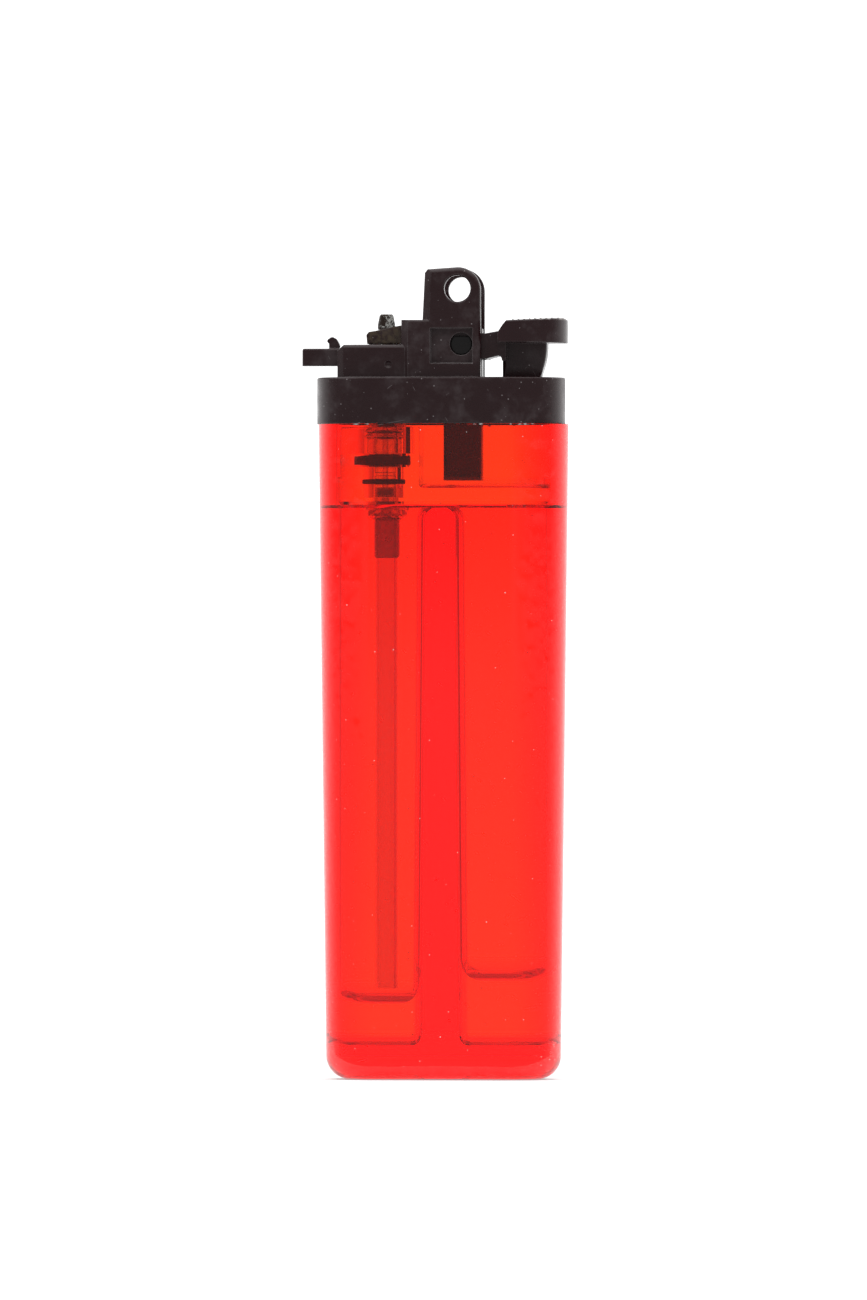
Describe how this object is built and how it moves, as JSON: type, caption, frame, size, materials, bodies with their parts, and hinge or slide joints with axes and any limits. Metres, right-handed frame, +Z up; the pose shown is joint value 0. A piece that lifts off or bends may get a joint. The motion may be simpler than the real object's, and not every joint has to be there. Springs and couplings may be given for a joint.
{
  "type": "disposable flint lighter",
  "caption": "Slim pocket gas lighter with a clear red tank and a black moulded head; its wind hood and spark wheel are taken off, so the wheel's ears stand bare.",
  "frame": {"origin": "centre of the tank's flat base", "axes": "+Z up the tank to the head, +X from the flame end to the thumb pad, +Y to the back"},
  "size_m": [0.0257, 0.0108, 0.0783],
  "materials": {
    "red_plastic": "clear red dyed plastic, glossy",
    "clear_plastic": "clear undyed plastic, glossy",
    "black_plastic": "black moulded plastic, satin",
    "lever_plastic": "brown-black moulded plastic, satin",
    "spring_steel": "bright drawn wire and stamped steel",
    "jet_metal": "die-cast alloy, dull, with white residue",
    "rubber": "black nitrile rubber",
    "valve_plastic": "off-white moulded plastic",
    "filter_foam": "fine filter membrane",
    "holder_plastic": "dark brown moulded plastic",
    "tube_plastic": "translucent white tube",
    "flint_metal": "grey ferrocerium, slightly corroded",
    "fuel": "clear colourless liquid"
  },
  "bodies": {
    "case": {"tank": "red_plastic", "tank_plug": "clear_plastic", "head": "black_plastic", "lever_spring": "spring_steel", "flint_spring": "spring_steel", "valve_body": "valve_plastic", "valve_gasket": "rubber", "valve_o_ring": "rubber", "filter_disc": "filter_foam", "filter_washers": "spring_steel", "wick_holder": "holder_plastic", "dip_tube": "tube_plastic", "fuel_valve_side": "fuel", "fuel_flint_side": "fuel"},
    "lever": {"thumb_lever": "lever_plastic"},
    "jet_valve": {"jet": "jet_metal", "jet_seal": "rubber"},
    "adjuster": {"flame_adjuster": "black_plastic", "adjuster_screw": "black_plastic"},
    "flint_stone": {"flint": "flint_metal"}
  },
  "joints": [
    {"name": "lever_pivot", "type": "hinge", "parent": "case", "child": "lever", "pos_m": [0.0019, 0, 0.0709], "axis": [0, 1, 0], "range_deg": [0, 10], "stiffness_Nm_per_rad": 0.05, "springref_deg": -6.88, "deforming": ["lever_spring"]},
    {"name": "jet_lift", "type": "slide", "parent": "case", "child": "jet_valve", "axis": [0, 0, 1], "range_m": [0, 0.00129]},
    {"name": "flame_adjust", "type": "hinge", "parent": "case", "child": "adjuster", "pos_m": [-0.00552, 0, 0.0696], "axis": [0, 0, 1], "range_deg": [-16, 16]},
    {"name": "flint_feed", "type": "slide", "parent": "case", "child": "flint_stone", "axis": [0, 0, 1], "range_m": [-0.004, 0.003], "stiffness_N_per_m": 60, "deforming": ["flint_spring"]}
  ],
  "couplings": [
    {"joint": "lever_pivot", "follows": "jet_lift", "rad_per_m": 134.8}
  ]
}
